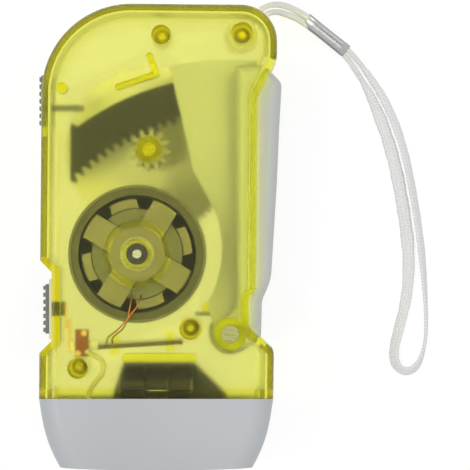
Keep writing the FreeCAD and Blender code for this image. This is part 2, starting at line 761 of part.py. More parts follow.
def cell_holder():
    """Dark tray under the cells, wider towards the lamp."""
    tray = polygon_prism([
        (HOLDER_TOP_X[0], HOLDER_TOP_Y),
        (HOLDER_TOP_X[1], HOLDER_TOP_Y),
        (HOLDER_LOW_X[1], HOLDER_LOW_Y),
        (HOLDER_LOW_X[1], HOLDER_END_Y),
        (HOLDER_LOW_X[0], HOLDER_END_Y),
        (HOLDER_LOW_X[0], HOLDER_LOW_Y),
    ], CELL_Z - CELL_R + 0.1, CELL_Z + 1.5)
    length = CELL_COUNT * (CELL_L + CELL_GAP)
    seat = Part.makeCylinder(CELL_R + 0.1, length + 0.3, vec(CELL_X0 - 0.2, CELL_Y, CELL_Z), vec(1, 0, 0))
    mouth = box((CELL_X0 - 0.2, CELL_X0 + length + 0.1), (CELL_Y - CELL_R - 0.1, CELL_Y + CELL_R + 0.1),
                (CELL_Z, CELL_Z + 2))
    return tray.cut([seat, mouth])


# Lever and its toothed sector
LEVER_OUTER = (
    (27.35, 33.4), (26.9, 24.0), (26.4, 12.0), (25.74, 1.3), (25.06, -10.0), (23.0, -14.6), (22.8, -21.5),
)


def lever_corners(inset):
    """Plan outline of the lever's channel, moved inwards by inset on its outer side."""
    outer = [(x - inset, y, 12.0) for x, y in LEVER_OUTER[1:-2]]
    corners = [(FLANGE_X, PIVOT[1] + WEB_R - 1.4 - inset, 0)]
    corners.append((23.6, 38.6 - inset, 3.0 - min(inset, 1.0)))
    corners.append((27.5 - inset, 34.6 - inset * 0.4, 2.5))
    corners += outer
    corners.append((23.0 - inset, -14.6, 5.0))
    if inset:
        corners += [(22.8 - inset, -30.0, 0), (10.0, -30.0, 0), (10.0, -16.0, 0), (FLANGE_X, -15.5, 0)]
    else:
        corners += [(22.8, -23.2, 2.0), (17.4, -27.2, 3.6), (10.6, -23.2, 4.0), (FLANGE_X, -15.5, 3.0)]
    return corners


def lever_web():
    """Flat plate in the middle of the lever, shaped round the flywheel."""
    top_left = polar(PIVOT, WEB_R, WEB_LEFT_DEG)
    top_mid = polar(PIVOT, WEB_R, (WEB_LEFT_DEG + 84.0) / 2)
    top_right = polar(PIVOT, WEB_R, 84.0)
    kink = polar(PIVOT, WEB_KINK_R, WEB_LEFT_DEG)
    kink_deg = bearing(WHEEL, kink)
    kink_r = math.hypot(kink[0] - WHEEL[0], kink[1] - WHEEL[1])
    low_deg = -35.0
    mid_deg = 12.0
    mid = polar(WHEEL, FLYWHEEL_CLEAR_R, mid_deg)
    low = polar(WHEEL, FLYWHEEL_CLEAR_R, low_deg)
    joint = polar(WHEEL, FLYWHEEL_CLEAR_R + 0.6, (kink_deg + mid_deg) / 2 - 8)
    z = WEB_Z
    wire = Part.Wire([
        Part.Arc(vec(*top_left, z), vec(*top_mid, z), vec(*top_right, z)).toShape(),
        Part.LineSegment(vec(*top_right, z), vec(FLANGE_X + 3, PIVOT[1], z)).toShape(),
        Part.LineSegment(vec(FLANGE_X + 3, PIVOT[1], z), vec(PIVOT[0] - 3.5, PIVOT[1], z)).toShape(),
        Part.LineSegment(vec(PIVOT[0] - 3.5, PIVOT[1], z), vec(*low, z)).toShape(),
        Part.Arc(vec(*low, z), vec(*mid, z), vec(*joint, z)).toShape(),
        Part.LineSegment(vec(*joint, z), vec(*kink, z)).toShape(),
        Part.LineSegment(vec(*kink, z), vec(*top_left, z)).toShape(),
    ])
    return Part.Face(wire).extrude(vec(0, 0, WEB_T))


def lever():
    body = prism(lever_corners(0), PIVOT_Z0, PIVOT_Z1)
    edges = []
    for z in (PIVOT_Z0, PIVOT_Z1):
        for edge in upright_edges(body, z):
            mid = edge.valueAt((edge.FirstParameter + edge.LastParameter) / 2)
            if mid.x > FLANGE_X + 4.6 and mid.y > -21.5:
                edges.append(edge)
    body = body.makeFillet(LEVER_EDGE_R, edges)
    channel = prism(lever_corners(LEVER_WALL), PIVOT_Z0 + LEVER_WALL, PIVOT_Z1 - LEVER_WALL)
    opening = box((0, FLANGE_X + 1), (-BEYOND, BEYOND), (PIVOT_Z0 + LEVER_WALL, PIVOT_Z1 - LEVER_WALL))
    body = body.cut([channel, opening])
    hub = disc(PIVOT, PIVOT_HUB_R, PIVOT_Z0, PIVOT_Z1)
    body = joined(body, lever_web(), hub)
    cuts = [disc(PIVOT, PIN_R + PIN_CLEAR, 0, THICK)]
    for degrees in RIVET_DEGS:
        cuts.append(disc(polar(PIVOT, SECTOR_MID_R, degrees), RIVET_R + 0.02, WEB_Z - 1, WEB_Z + WEB_T - RIVET_SKIN))
    return body.cut(cuts)


SECTOR_MID_R = (RING_PITCH_R + RING_MODULE + SECTOR_OUTER_R) / 2


def sector_gear():
    """Inward toothed rack sector, bent round the lever's pivot."""
    tip_r = RING_PITCH_R - 0.95 * RING_MODULE
    root_r = RING_PITCH_R + 1.25 * RING_MODULE
    pitch_deg = 360.0 / RING_TEETH
    span = range(-SECTOR_TEETH_RIGHT, SECTOR_TEETH_LEFT + 1)
    points = []
    for k in span:
        middle = MESH_DEG + k * pitch_deg
        for r in (tip_r, RING_PITCH_R, root_r):
            half = math.degrees(tooth_half_angle(r, RING_TEETH, RING_MODULE, -BACKLASH))
            points.append(polar(PIVOT, r, middle - half))
        for r in (root_r, RING_PITCH_R, tip_r):
            half = math.degrees(tooth_half_angle(r, RING_TEETH, RING_MODULE, -BACKLASH))
            points.append(polar(PIVOT, r, middle + half))
    start = points[0]
    end = points[-1]
    z = SECTOR_Z
    edges = []
    for a, b in zip(points, points[1:]):
        edges.append(Part.LineSegment(vec(*a, z), vec(*b, z)).toShape())
    left_tip = polar(PIVOT, tip_r, bearing(PIVOT, end) + 0.9)
    left_low = (SECTOR_LEFT_X, left_tip[1] + 0.6)
    nose_y = PIVOT[1] + math.sqrt(NOSE_R ** 2 - (PIVOT[0] - SECTOR_LEFT_X) ** 2) - 0.9
    nose_a = (SECTOR_LEFT_X, nose_y)
    nose_b = polar(PIVOT, NOSE_R, NOSE_DEG)
    nose_c = polar(PIVOT, SECTOR_OUTER_R, NOSE_DEG - 0.6)
    outer_mid = polar(PIVOT, SECTOR_OUTER_R, (NOSE_DEG + SECTOR_RIGHT_DEG) / 2)
    outer_end = polar(PIVOT, SECTOR_OUTER_R, SECTOR_RIGHT_DEG)
    right_low = polar(PIVOT, tip_r, SECTOR_RIGHT_DEG)
    for a, b in zip((end, left_tip, left_low, nose_a, nose_b), (left_tip, left_low, nose_a, nose_b, nose_c)):
        edges.append(Part.LineSegment(vec(*a, z), vec(*b, z)).toShape())
    edges.append(Part.Arc(vec(*nose_c, z), vec(*outer_mid, z), vec(*outer_end, z)).toShape())
    edges.append(Part.LineSegment(vec(*outer_end, z), vec(*right_low, z)).toShape())
    edges.append(Part.LineSegment(vec(*right_low, z), vec(*start, z)).toShape())
    body = Part.Face(Part.Wire(edges)).extrude(vec(0, 0, SECTOR_T))
    for degrees in RIVET_DEGS:
        body = body.cut(disc(polar(PIVOT, SECTOR_MID_R, degrees), RIVET_R + 0.02, SECTOR_Z - 1, SECTOR_Z + SECTOR_T + 1))
    return body


def sector_rivets():
    rivets = []
    for degrees in RIVET_DEGS:
        centre = polar(PIVOT, SECTOR_MID_R, degrees)
        shank = disc(centre, RIVET_R, SECTOR_Z - 0.1, WEB_Z + WEB_T - RIVET_SKIN - 0.05)
        head = disc(centre, RIVET_HEAD_R, SECTOR_Z - 0.1 - RIVET_HEAD_T, SECTOR_Z - 0.05)
        rivets.append(joined(shank, head))
    return Part.makeCompound(rivets)


def pivot_pin():
    return disc(PIVOT, PIN_R, WALL - 0.85, FRONT_IN + 0.5)


def return_spring():
    """Torsion spring round the pivot hub, with its fixed leg against a peg."""
    z0 = PIVOT_Z0 + LEVER_WALL + 0.4 + SPRING_WIRE_R
    height = WEB_Z - 2.0 - SPRING_WIRE_R - z0
    coil_r = PIVOT_HUB_R + 0.35 + SPRING_WIRE_R
    step_deg = 360.0 / SPRING_SIDES
    corner_r = coil_r / math.cos(math.radians(step_deg / 2))
    steps = int(SPRING_TURNS * SPRING_SIDES)
    points = [vec(PIVOT[0] + coil_r, PIVOT[1], z0)]
    for k in range(steps):
        x, y = polar(PIVOT, corner_r, (k + 0.5) * step_deg)
        points.append(vec(x, y, z0 + height * (k + 1) / steps))
    points.append(vec(SPRING_PEG[0] - SPRING_PEG[2] - 1.5, PIVOT[1] + coil_r, z0 + height))
    return bent_wire(points, SPRING_WIRE_R)


# Gear train
def drive_gear():
    points = gear_points(GEAR_AXIS, DRIVE_TEETH, TRAIN_MODULE, TRAIN_DEG, 0.95, 1.25, BACKLASH, 1)
    body = polygon_prism(points, TRAIN_Z, TRAIN_Z + TRAIN_T)
    web = tube(GEAR_AXIS, DRIVE_R - 3.0, GEAR_HUB_R + 1.5, TRAIN_Z + TRAIN_T - 0.7, TRAIN_Z + TRAIN_T + 1)
    body = body.cut(web)
    hub = disc(GEAR_AXIS, GEAR_HUB_R + 1.0, TRAIN_Z, SECTOR_Z - 0.3)
    return body.fuse(hub).cut(disc(GEAR_AXIS, AXLE_R + SHAFT_CLEAR, 0, THICK))


def drive_pinion():
    phase = MESH_DEG
    points = gear_points(GEAR_AXIS, RING_PINION_TEETH, RING_MODULE, phase, 0.9, 1.15, BACKLASH, 2)
    body = polygon_prism(points, SECTOR_Z - 0.2, SECTOR_Z + SECTOR_T)
    return body.cut(disc(GEAR_AXIS, AXLE_R + SHAFT_CLEAR, 0, THICK))


def gear_axle():
    return disc(GEAR_AXIS, AXLE_R, WALL - 0.85, AXLE_TOP_Z)


def flywheel():
    """Cup that carries the magnets, with its pinion at the rear end of its hub."""
    cup = disc(WHEEL, CUP_R, CUP_WEB_Z, CUP_FRONT_Z)
    cup = cup.cut(disc(WHEEL, CUP_R - CUP_RIM_T, CUP_WEB_Z + CUP_WEB_T, CUP_FRONT_Z + 1))
    hub = disc(WHEEL, CUP_HUB_R, TRAIN_Z + TRAIN_T - 0.1, CUP_WEB_Z + 0.1)
    half_pitch = 180.0 / FLY_PINION_TEETH
    phase = TRAIN_DEG + 180.0 + half_pitch
    points = gear_points(WHEEL, FLY_PINION_TEETH, TRAIN_MODULE, phase, 0.9, 1.25, BACKLASH, 2)
    pinion = polygon_prism(points, TRAIN_Z - 0.1, TRAIN_Z + TRAIN_T + 0.3)
    body = joined(cup, hub, pinion)
    return body.cut(disc(WHEEL, SHAFT_R + SHAFT_CLEAR, 0, THICK))


def magnet_ring():
    return tube(WHEEL, MAGNET_OUTER_R, MAGNET_INNER_R, CUP_WEB_Z + CUP_WEB_T + SHAFT_CLEAR, MAGNET_Z1)


def flywheel_shaft():
    return disc(WHEEL, SHAFT_R, WALL - 0.85, FRONT_IN + 0.8)


# Dynamo stator
def claw_plate(radius, width, tip_t, first_deg, plate_z, claw_z0, claw_z1):
    """Pole plate with arms whose ends are bent over into claws."""
    plate = disc(WHEEL, CLAW_HUB_R, plate_z, plate_z + CLAW_T)
    bend_z = claw_z0 if plate_z == claw_z0 else claw_z1
    blank = disc((0, 0), radius, claw_z0, claw_z1)
    blank = blank.makeFillet(CLAW_BEND_R, upright_edges(blank, bend_z))
    arms = []
    for k in range(CLAW_COUNT):
        arm = box((2.0, radius + 1), (-width / 2, width / 2), (plate_z, plate_z + CLAW_T))
        claw = box((radius - tip_t - 1.0, radius + 1), (-width / 2, width / 2), (claw_z0, claw_z1))
        claw = claw.cut(disc((0, 0), radius - tip_t, 0, THICK))
        arm = arm.fuse(claw).common(blank)
        arm.rotate(vec(0, 0), UP, first_deg + k * 360.0 / CLAW_COUNT)
        arm.translate(vec(WHEEL[0], WHEEL[1]))
        arms.append(arm)
    body = joined(plate, *arms)
    return body.cut(disc(WHEEL, CORE_R + 0.02, 0, THICK))


def stator_front():
    return claw_plate(FRONT_CLAW_R, FRONT_CLAW_W, CLAW_T, FRONT_CLAW_DEG, FRONT_CLAW_Z,
                      FRONT_CLAW_Z - CLAW_REACH, FRONT_CLAW_Z + CLAW_T)


def stator_rear():
    return claw_plate(REAR_CLAW_R, REAR_CLAW_W, REAR_CLAW_TIP_T, REAR_CLAW_DEG, REAR_CLAW_Z,
                      REAR_CLAW_Z, REAR_CLAW_Z + CLAW_T + CLAW_REACH)


def stator_core():
    return tube(WHEEL, CORE_R, CORE_BORE_R, REAR_CLAW_Z - 0.3, FRONT_CLAW_Z + CLAW_T + 0.05)


def bobbin():
    z0 = REAR_CLAW_Z + CLAW_T + 0.05
    z1 = FRONT_CLAW_Z - 0.05
    sleeve = tube(WHEEL, CORE_R + 0.05 + BOBBIN_TUBE_T, CORE_R + 0.05, z0, z1)
    low = tube(WHEEL, BOBBIN_R, CORE_R + 0.05, z0, z0 + BOBBIN_FLANGE_T)
    high = tube(WHEEL, BOBBIN_R, CORE_R + 0.05, z1 - BOBBIN_FLANGE_T, z1)
    return joined(sleeve, low, high)


def coil_winding():
    z0 = REAR_CLAW_Z + CLAW_T + 0.05 + BOBBIN_FLANGE_T + 0.02
    z1 = FRONT_CLAW_Z - 0.05 - BOBBIN_FLANGE_T - 0.02
    return tube(WHEEL, BOBBIN_R - 0.5, CORE_R + 0.07 + BOBBIN_TUBE_T, z0, z1)


def coil_wires():
    """Two thin leads from the coil, over the magnet ring and down to the board."""
    z_over = FRONT_IN - 1.0
    first = bent_wire([
        vec(-6.4, -13.2, FRONT_CLAW_Z + 0.1), vec(-6.6, -15.2, z_over), vec(-7.6, -20.4, z_over - 0.6),
        vec(-10.9, -23.0, BOARD_Z1), vec(-10.9, board_y(-10.9) + BOARD_T / 2 + WIRE_R, BOARD_Z1 - 2.5),
    ], WIRE_R)
    second = bent_wire([
        vec(-4.4, -13.4, FRONT_CLAW_Z + 0.1), vec(-4.9, -15.6, z_over + 0.1), vec(-8.8, -20.6, z_over - 0.8),
        vec(-11.9, -22.9, BOARD_Z1 - 2.0), vec(-12.3, board_y(-12.3) + BOARD_T / 2 + WIRE_R, BOARD_Z1 - 5.0),
    ], WIRE_R)
    return Part.makeCompound([first, second])


def stator_bush():
    return tube(WHEEL, BUSH_R, SHAFT_R + 0.02, FRONT_CLAW_Z + CLAW_T + 0.1, FRONT_IN + 0.85)


def shell_screws():
    screws = []
    for x, y, r in SCREW_POSTS:
        head = disc((x, y), SCREW_HEAD_R, 0, SCREW_HEAD_T)
        shank = disc((x, y), SCREW_R - 0.02, SCREW_HEAD_T - 0.1, SCREW_HEAD_T + SCREW_LENGTH)
        screws.append(head.fuse(shank))
    return Part.makeCompound(screws)


# Switch and lock
def switch_plate():
    plate = box((SWITCH_X, SWITCH_X + PLATE_T), (PLATE_Y0, PLATE_Y1), (SWITCH_Z0, SWITCH_Z1))
    return plate.cut(switch_slot())


def switch_button():
    """Thumb slide with cross ribs and a stem through the wall."""
    x0 = SWITCH_X - BUTTON_T - 0.05
    x1 = SWITCH_X - 0.05
    z = (SWITCH_Z0 + 1.0, SWITCH_Z1 - 1.0)
    body = box((x0 + 0.5, x1), (BUTTON_Y0, BUTTON_Y1), z)
    pitch = (BUTTON_Y1 - BUTTON_Y0) / BUTTON_RIBS
    ribs = []
    for k in range(BUTTON_RIBS):
        y = BUTTON_Y0 + (k + 0.5) * pitch
        ribs.append(box((x0, x0 + 0.7), (y - pitch * 0.28, y + pitch * 0.28), z))
    middle = (BUTTON_Y0 + BUTTON_Y1) / 2
    stem = box((x1 - 0.1, BAY_FLOOR_X + STEM_REACH), (middle - STEM_HALF_Y, middle + STEM_HALF_Y),
               (SPLIT_Z - STEM_HALF_Z, SPLIT_Z + STEM_HALF_Z))
    return joined(body, stem, *ribs)


WIPER_X = BAY_FLOOR_X + STEM_REACH + 0.05


def switch_wiper():
    middle = (BUTTON_Y0 + BUTTON_Y1) / 2
    foot = box((WIPER_X, WIPER_X + 0.4), (middle - 4.5, middle + 1.5), (SPLIT_Z - 2, SPLIT_Z + 2))
    return foot


def switch_contact():
    return box((WIPER_X + 0.7, WIPER_X + 1.3), CONTACT_Y, (SPLIT_Z - 3, SPLIT_Z + 3))


def contact_block():
    x0 = WIPER_X + 1.3
    return box((x0, BOARD_X0 - 0.06), (BOARD_Y - 0.9, BOARD_Y + 1.3), (SPLIT_Z - 4, SPLIT_Z + 4))


TERMINAL_Z = SPLIT_Z + 4.05


def terminal_strip():
    """Fibre strip on the contact block that the lamp's wire is fixed to."""
    strip = box(TERMINAL_X, TERMINAL_Y, (TERMINAL_Z, TERMINAL_Z + TERMINAL_T))
    holes = [disc(place, 0.35, TERMINAL_Z - 1, TERMINAL_Z + 2) for place in TERMINAL_SCREWS]
    return strip.cut(holes)


def terminal_screws():
    screws = []
    for place in TERMINAL_SCREWS:
        head = disc(place, TERMINAL_SCREW_R, TERMINAL_Z + TERMINAL_T + 0.02, TERMINAL_Z + TERMINAL_T + 0.5)
        shank = disc(place, 0.33, TERMINAL_Z + 0.1, TERMINAL_Z + TERMINAL_T + 0.1)
        screws.append(head.fuse(shank))
    return Part.makeCompound(screws)


def lamp_wire():
    """Insulated wire from the strip round to the back of the lamp block."""
    z = TERMINAL_Z + TERMINAL_T + LAMP_WIRE_R + 0.02
    return bent_wire([
        vec(-16.9, -26.2, z), vec(-13.0, -28.1, z + 2.0), vec(-12.9, -31.0, z + 2.4),
        vec(-14.8, -33.2, z + 1.0), vec(-16.2, -35.2, z - 0.8),
        vec(-16.4, LAMP_BOARD_Y + LAMP_BOARD_T + 0.02, z - 1.0),
    ], LAMP_WIRE_R)


def lock_slider():
    thumb = box((LOCK_X + 0.4, LOCK_X + LOCK_T), (LOCK_Y0, LOCK_Y1), (LOCK_Z0, LOCK_Z1))
    ribs = []
    count = 7
    pitch = (LOCK_Y1 - LOCK_Y0) / count
    for k in range(count):
        y = LOCK_Y0 + (k + 0.5) * pitch
        ribs.append(box((LOCK_X, LOCK_X + 0.5), (y - pitch * 0.28, y + pitch * 0.28), (LOCK_Z0, LOCK_Z1)))
    tongue = box((LOCK_X + LOCK_T - 0.1, TONGUE_X), (TONGUE_Y0, TONGUE_Y0 + TONGUE_T), (TONGUE_Z0, TONGUE_Z1))
    return joined(thumb, tongue, *ribs)


# Strap
STRAP_ROUTE = (
    (21.0, 49.9, 12.0), (22.9, 52.2, 11.6), (26.2, 53.2, 9.4), (29.4, 52.6, 5.8), (33.6, 50.4, 3.1),
    (43.0, 43.0, 1.3), (47.4, 37.6, 0.76), (51.9, 30.6, 0.76), (55.5, 21.6, 0.76), (57.9, 10.4, 0.76),
    (59.8, -2.0, 0.76), (60.8, -14.4, 0.76), (61.0, -22.0, 0.76), (60.4, -26.4, 0.76), (58.9, -30.2, 0.76),
    (56.2, -31.6, 0.76), (53.7, -29.8, 0.76), (53.4, -26.2, 0.76), (54.6, -21.6, 0.76), (56.6, -14.0, 0.76),
    (57.1, -4.0, 0.76), (55.4, 8.6, 0.76), (52.9, 20.4, 0.76), (48.6, 31.6, 0.76), (45.0, 37.8, 0.76),
    (42.1, 41.9, 1.3), (32.7, 49.3, 3.1), (28.6, 51.0, 5.8), (25.9, 51.5, 9.2), (23.7, 50.6, 11.4),
    (22.1, 48.8, 12.0),
)


def strap():
    points = [vec(*p) for p in STRAP_ROUTE]
    path, radii = bent_path(points)
    body = bent_wire(points, STRAP_R)
    area = math.pi * STRAP_R ** 2
    print("strap length %.1f, volume over section %.1f" % (path.Length, body.Volume / area))
    print("strap radii " + " ".join("%.1f" % r for r in radii))
    return body


def strap_root():
    """The strap's hidden end, looped round the screw post near the tail."""
    x, y, r = SCREW_POSTS[1]
    along = vec(0.64, 0.77)
    side = vec(-0.77, 0.64)
    reach = r + REAR_POST_EXTRA + ROOT_CLEAR + STRAP_R
    post = vec(x, y, STRAP_Z)
    first = vec(*STRAP_ROUTE[0])
    last = vec(*STRAP_ROUTE[-1])
    lead_in = (first - vec(*STRAP_ROUTE[1])).normalize() * STRAP_R
    lead_out = (last - vec(*STRAP_ROUTE[-2])).normalize() * STRAP_R
    points = [first, first + lead_in, post + side * reach, post + side * reach - along * reach,
              post - side * reach - along * reach, post - side * reach, last + lead_out, last]
    return bent_wire(points, STRAP_R)


def strap_clip():
    """Crimped metal sleeve that holds the two strands together."""
    a0 = vec(*STRAP_ROUTE[4])
    a1 = vec(*STRAP_ROUTE[5])
    b1 = vec(*STRAP_ROUTE[-6])
    b0 = vec(*STRAP_ROUTE[-5])
    start = (a0 + b0) * 0.5
    end = (a1 + b1) * 0.5
    along = (end - start).normalize()
    middle = (start + end) * 0.5
    sleeve = Part.makeBox(CLIP_LENGTH, 2 * CLIP_HALF_W, 2 * CLIP_HALF_H, vec(-CLIP_LENGTH / 2, -CLIP_HALF_W, -CLIP_HALF_H))
    sleeve = sleeve.makeFillet(CLIP_HALF_H * 0.8, [e for e in sleeve.Edges if abs(e.BoundBox.XLength - CLIP_LENGTH) < 1e-3])
    bore_w = CLIP_HALF_W - CLIP_WALL
    bore_h = CLIP_HALF_H - CLIP_WALL
    bore = Part.makeBox(CLIP_LENGTH + 2, 2 * bore_w, 2 * bore_h, vec(-CLIP_LENGTH / 2 - 1, -bore_w, -bore_h))
    bore = bore.makeFillet(bore_h * 0.8, [e for e in bore.Edges if abs(e.BoundBox.XLength - CLIP_LENGTH - 2) < 1e-3])
    clip = sleeve.cut(bore)
    turn = math.degrees(math.atan2(along.y, along.x))
    dip = math.degrees(math.asin(-along.z))
    clip.rotate(vec(0, 0), vec(0, 1, 0), dip)
    clip.rotate(vec(0, 0), UP, turn)
    clip.translate(middle)
    return clip


def main():
    outer, inner = housing_blank()
    nodes = {
        "front_shell": front_shell(outer, inner),
        "rear_shell": rear_shell(outer, inner),
        "head_cap": head_cap(),
        "lens": lens(),
        "reflector": reflector(),
        "led_board": led_board(),
        "lamp_board": lamp_board(),
        "cell_holder": cell_holder(),
        "lever": lever(),
        "sector_gear": sector_gear(),
        "sector_rivets": sector_rivets(),
        "pivot_pin": pivot_pin(),
        "return_spring": return_spring(),
        "drive_gear": drive_gear(),
        "drive_pinion": drive_pinion(),
        "gear_axle": gear_axle(),
        "flywheel": flywheel(),
        "magnet_ring": magnet_ring(),
        "flywheel_shaft": flywheel_shaft(),
        "stator_front": stator_front(),
        "stator_rear": stator_rear(),
        "stator_core": stator_core(),
        "bobbin": bobbin(),
        "coil_winding": coil_winding(),
        "coil_wires": coil_wires(),
        "stator_bush": stator_bush(),
        "shell_screws": shell_screws(),
        "switch_plate": switch_plate(),
        "switch_button": switch_button(),
        "switch_wiper": switch_wiper(),
        "switch_contact": switch_contact(),
        "contact_block": contact_block(),
        "terminal_strip": terminal_strip(),
        "terminal_screws": terminal_screws(),
        "lamp_wire": lamp_wire(),
        "lock_slider": lock_slider(),
        "strap": strap(),
        "strap_root": strap_root(),
        "strap_clip": strap_clip(),
    }
    for i, x in enumerate(lamp_centres()):
        nodes["led_%d" % (i + 1)] = led(x)
    for i in range(CELL_COUNT):
        nodes["button_cell_%d" % (i + 1)] = button_cell(i)
    os.makedirs("parts", exist_ok=True)
    for name, shape in nodes.items():
        if not shape.isValid():
            print("not valid: " + name)
        box_here = shape.BoundBox
        print("%-16s solids %d volume %.1f z %.2f to %.2f" % (
            name, len(shape.Solids), shape.Volume, box_here.ZMin, box_here.ZMax))
        shape.exportStep(os.path.join("parts", name + ".step"))


main()
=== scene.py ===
import math
import bmesh
import bpy
import numpy as np
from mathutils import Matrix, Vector


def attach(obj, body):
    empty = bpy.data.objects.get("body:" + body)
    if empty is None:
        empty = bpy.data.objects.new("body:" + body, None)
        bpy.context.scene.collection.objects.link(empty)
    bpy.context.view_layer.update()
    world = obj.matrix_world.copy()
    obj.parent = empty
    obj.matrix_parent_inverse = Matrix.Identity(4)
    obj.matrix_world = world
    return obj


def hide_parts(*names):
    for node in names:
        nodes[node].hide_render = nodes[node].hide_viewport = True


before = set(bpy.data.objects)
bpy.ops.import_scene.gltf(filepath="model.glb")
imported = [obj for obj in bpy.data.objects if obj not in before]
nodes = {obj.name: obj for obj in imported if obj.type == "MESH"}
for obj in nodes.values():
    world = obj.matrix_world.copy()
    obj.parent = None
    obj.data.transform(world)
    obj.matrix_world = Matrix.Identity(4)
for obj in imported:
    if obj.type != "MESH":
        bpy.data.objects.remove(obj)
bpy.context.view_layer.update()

MM = 0.001

# The photograph's framing: its centre in the torch's frame and the width that it shows at mid thickness
VIEW_CENTRE = (16.9 * MM, 0.2 * MM)
VIEW_WIDTH = 107.07 * MM
VIEW_PLANE_Z = 19.0 * MM
CAMERA_RISE = 1.6
CAMERA_REACH = 10.0
SENSOR_MM = 36.0

# Surroundings: the even light of the world, the table, and the two lamps with their power and place
AMBIENT = 0.62
FLOOR_HALF = 3.0
FLOOR_GLOW = 0.84
LAMP_SIZE = 0.3
LAMP_TARGET = (0, 0, 0)
LAMPS = (("key", 1.7, (0.36, 0.30, 1.0)), ("fill", 2.3, (-0.42, -0.08, 1.0)))

# Heights at which the rear half meets the front half, the hair's breadth left there, and how near to such a
# height a point counts as lying on it
JOINT_LEVELS = (19.0 * MM, 8.0 * MM)
JOINT_GAP = 0.02 * MM
JOINT_TOUCH = 0.001 * MM

# The strap's route as the CAD source has it
STRAP_ROUTE_MM = (
    (21.0, 49.9, 12.0), (22.9, 52.2, 11.6), (26.2, 53.2, 9.4), (29.4, 52.6, 5.8), (33.6, 50.4, 3.1),
    (43.0, 43.0, 1.3), (47.4, 37.6, 0.76), (51.9, 30.6, 0.76), (55.5, 21.6, 0.76), (57.9, 10.4, 0.76),
    (59.8, -2.0, 0.76), (60.8, -14.4, 0.76), (61.0, -22.0, 0.76), (60.4, -26.4, 0.76), (58.9, -30.2, 0.76),
    (56.2, -31.6, 0.76), (53.7, -29.8, 0.76), (53.4, -26.2, 0.76), (54.6, -21.6, 0.76), (56.6, -14.0, 0.76),
    (57.1, -4.0, 0.76), (55.4, 8.6, 0.76), (52.9, 20.4, 0.76), (48.6, 31.6, 0.76), (45.0, 37.8, 0.76),
    (42.1, 41.9, 1.3), (32.7, 49.3, 3.1), (28.6, 51.0, 5.8), (25.9, 51.5, 9.2), (23.7, 50.6, 11.4),
    (22.1, 48.8, 12.0),
)
TAPE_WIDTH = 2.9 * MM

# How the flat tape turns and spreads on its way: the share of the route, its width and thickness in
# millimetres, and its lean from lying flat in degrees
TAPE_KEYS = (
    (0.00, 1.25, 1.15, 0.0), (0.07, 1.45, 1.2, 20.0), (0.095, 1.25, 1.2, 0.0), (0.16, 1.25, 1.2, 0.0),
    (0.20, 2.0, 0.9, 35.0), (0.25, 2.7, 0.75, 55.0), (0.38, 2.9, 0.75, 62.0), (0.43, 2.9, 0.75, 80.0),
    (0.475, 2.9, 0.75, 86.0), (0.50, 2.8, 0.8, 60.0), (0.53, 2.7, 0.85, 45.0), (0.56, 2.5, 0.85, 30.0),
    (0.60, 2.5, 0.8, 10.0), (0.66, 2.9, 0.75, 4.0), (0.74, 2.9, 0.75, -4.0), (0.80, 2.7, 0.75, 6.0),
    (0.84, 1.25, 1.2, 0.0), (0.905, 1.25, 1.2, 0.0), (0.93, 1.45, 1.2, -20.0), (1.00, 1.25, 1.15, 0.0),
)
TAPE_SIDES = 16
TAPE_STEP = 0.45 * MM
# Powers that square off the tape's section across its width and its thickness
TAPE_POWER_WIDE = 0.75
TAPE_POWER_THICK = 0.55
# Uneven width along the tape: share of the width, radians per millimetre, and start in radians
TAPE_RIPPLES = ((0.035, 0.9, 0.0), (0.025, 2.3, 1.0))
# Resting on the table: how low a stretch has to lie for it, the gap left under it, and the number of points
# over which the rise and fall are smoothed
TAPE_LOW = 0.9 * MM
TAPE_FLOOR_GAP = 0.03 * MM
TAPE_SMOOTH = 9
# Braid: slope of the yarns, their pitch along the tape and their pitch across it, in millimetres
YARN_SLOPE = 1.05
YARN_PITCH = 0.78
YARN_CROSS_PITCH = 0.72

# Hidden end of the strap round its post: the post, the reach of the loop and the way it runs
ROOT_POST_MM = (18.5, 45.8, 12.0)
ROOT_REACH_MM = 3.3
ROOT_ALONG = (0.64, 0.77, 0.0)
ROOT_SIDE = (-0.77, 0.64, 0.0)
ROOT_KEYS = ((0.0, 1.25, 1.15, 0.0), (0.3, 1.2, 1.1, 0.0), (0.7, 1.2, 1.1, 0.0), (1.0, 1.25, 1.15, 0.0))

# Crimped sleeve round both strands
CLIP_A = (33.15, 49.85, 3.1)
CLIP_B = (42.55, 42.45, 1.3)
CLIP_LENGTH = 11.9
CLIP_HALF_W = 1.6
CLIP_HALF_H = 0.95
CLIP_WALL = 0.2
CLIP_SEAM_SHARE = 0.62
CLIP_SEAM_W = 0.34
CLIP_CORNER_SHARE = 0.8
CLIP_CORNER_STEPS = 10
CLIP_SECTIONS = 7
CLIP_SQUEEZE = 0.035
CLIP_EDGE = 0.05 * MM

# Pitch of the coil's turns
WIRE_PITCH = 0.32 * MM


def add_object(name, mesh, body="root"):
    """Link a mesh as an object that rides on a body, or on nothing."""
    obj = bpy.data.objects.new(name, mesh)
    bpy.context.scene.collection.objects.link(obj)
    if body:
        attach(obj, body)
    return obj


def smooth_faces(mesh):
    mesh.polygons.foreach_set("use_smooth", [True] * len(mesh.polygons))


def make_camera():
    """Long lens, straight above the front face, with the strap end at the top of the picture."""
    data = bpy.data.cameras.new("camera")
    data.sensor_width = SENSOR_MM
    data.lens = SENSOR_MM * CAMERA_RISE / VIEW_WIDTH
    data.clip_end = CAMERA_REACH
    camera = bpy.data.objects.new("camera", data)
    camera.location = (VIEW_CENTRE[0], VIEW_CENTRE[1], VIEW_PLANE_Z + CAMERA_RISE)
    bpy.context.scene.collection.objects.link(camera)
    bpy.context.scene.camera = camera


